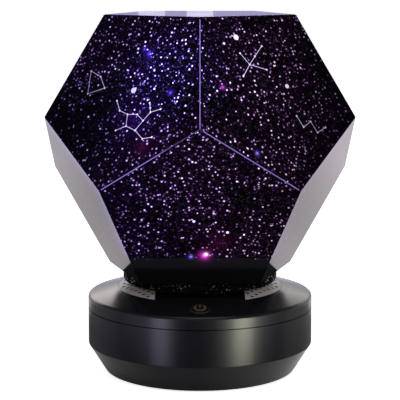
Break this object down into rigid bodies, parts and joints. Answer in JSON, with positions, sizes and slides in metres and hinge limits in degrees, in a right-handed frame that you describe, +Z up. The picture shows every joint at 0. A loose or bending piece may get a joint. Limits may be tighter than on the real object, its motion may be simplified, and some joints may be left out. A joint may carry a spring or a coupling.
{
  "type": "planetarium projector",
  "caption": "Table planetarium lamp: a dodecahedral star shell lit from inside turns on a round speaker base with a domed top, two grilles and a power button.",
  "frame": {"origin": "on the table, under the axis that the shell turns about", "axes": "+Z up, the power button and the shell's front corner towards -Y"},
  "size_m": [0.209, 0.2198, 0.2501],
  "materials": {
    "shell_panel": "glossy, printed black with clear star dots",
    "clear_frame": "clear, moulded",
    "shell_floor": "smooth",
    "turntable_gloss": "glossy with fine pale flecks",
    "nylon": "natural",
    "brass": "machined",
    "steel": "plated",
    "button_cap": "satin with a gold symbol",
    "housing_black": "satin, fine texture",
    "rubber": "matt",
    "grille_grey": "light grey paint, perforated",
    "speaker_black": "paper cone in a plastic basket",
    "circuit_board": "solder mask",
    "switch_black": "moulded",
    "cell_wrap": "shrink wrap",
    "motor_can": "drawn can",
    "post_black": "powder coat",
    "aluminium": "turned",
    "lamp_board": "white solder mask",
    "clear_lens": "polished"
  },
  "bodies": {
    "base": {"base_plate": "housing_black", "base_screws": "steel", "battery_cell": "cell_wrap", "bearing_bush": "brass", "charge_board": "circuit_board", "gear_motor": "motor_can", "grille_left": "grille_grey", "grille_right": "grille_grey", "inlet_socket": "steel", "lamp_cup": "aluminium", "lamp_lens": "clear_lens", "lamp_post": "post_black", "led_board": "lamp_board", "lower_housing": "housing_black", "main_board": "circuit_board", "mechanism_plate": "steel", "plate_pillars": "brass", "retaining_collar": "nylon", "rubber_feet": "rubber", "speaker_left": "speaker_black", "speaker_right": "speaker_black", "switch_board": "circuit_board", "tact_switch": "switch_black", "upper_housing": "housing_black"},
    "turntable": {"turntable": "turntable_gloss", "turntable_gear": "nylon"},
    "pinion": {"drive_pinion": "brass", "motor_shaft": "steel"},
    "button": {"power_button": "button_cap"},
    "shell": {"shell_floor_ring": "shell_floor", "shell_frame": "clear_frame", "top_panel": "shell_panel", "upper_panel_1": "shell_panel", "upper_panel_2": "shell_panel", "upper_panel_3": "shell_panel", "upper_panel_4": "shell_panel", "upper_panel_5": "shell_panel", "lower_panel_1": "shell_panel", "lower_panel_2": "shell_panel", "lower_panel_3": "shell_panel", "lower_panel_4": "shell_panel", "lower_panel_5": "shell_panel"}
  },
  "joints": [
    {"name": "turntable_spin", "type": "hinge", "parent": "base", "child": "turntable", "pos_m": [0, 0, 0], "axis": [0, 0, 1], "continuous": true},
    {"name": "pinion_spin", "type": "hinge", "parent": "base", "child": "pinion", "pos_m": [0, 0.032, 0], "axis": [0, 0, 1], "continuous": true},
    {"name": "button_press", "type": "slide", "parent": "base", "child": "button", "axis": [0, 0.2393, -0.9709], "range_m": [0, 0.0008], "stiffness_N_per_m": 600},
    {"name": "shell_lift", "type": "slide", "parent": "turntable", "child": "shell", "axis": [0, 0, 1], "range_m": [0, 0.105]}
  ],
  "couplings": [
    {"joint": "pinion_spin", "follows": "turntable_spin", "ratio": -3}
  ]
}
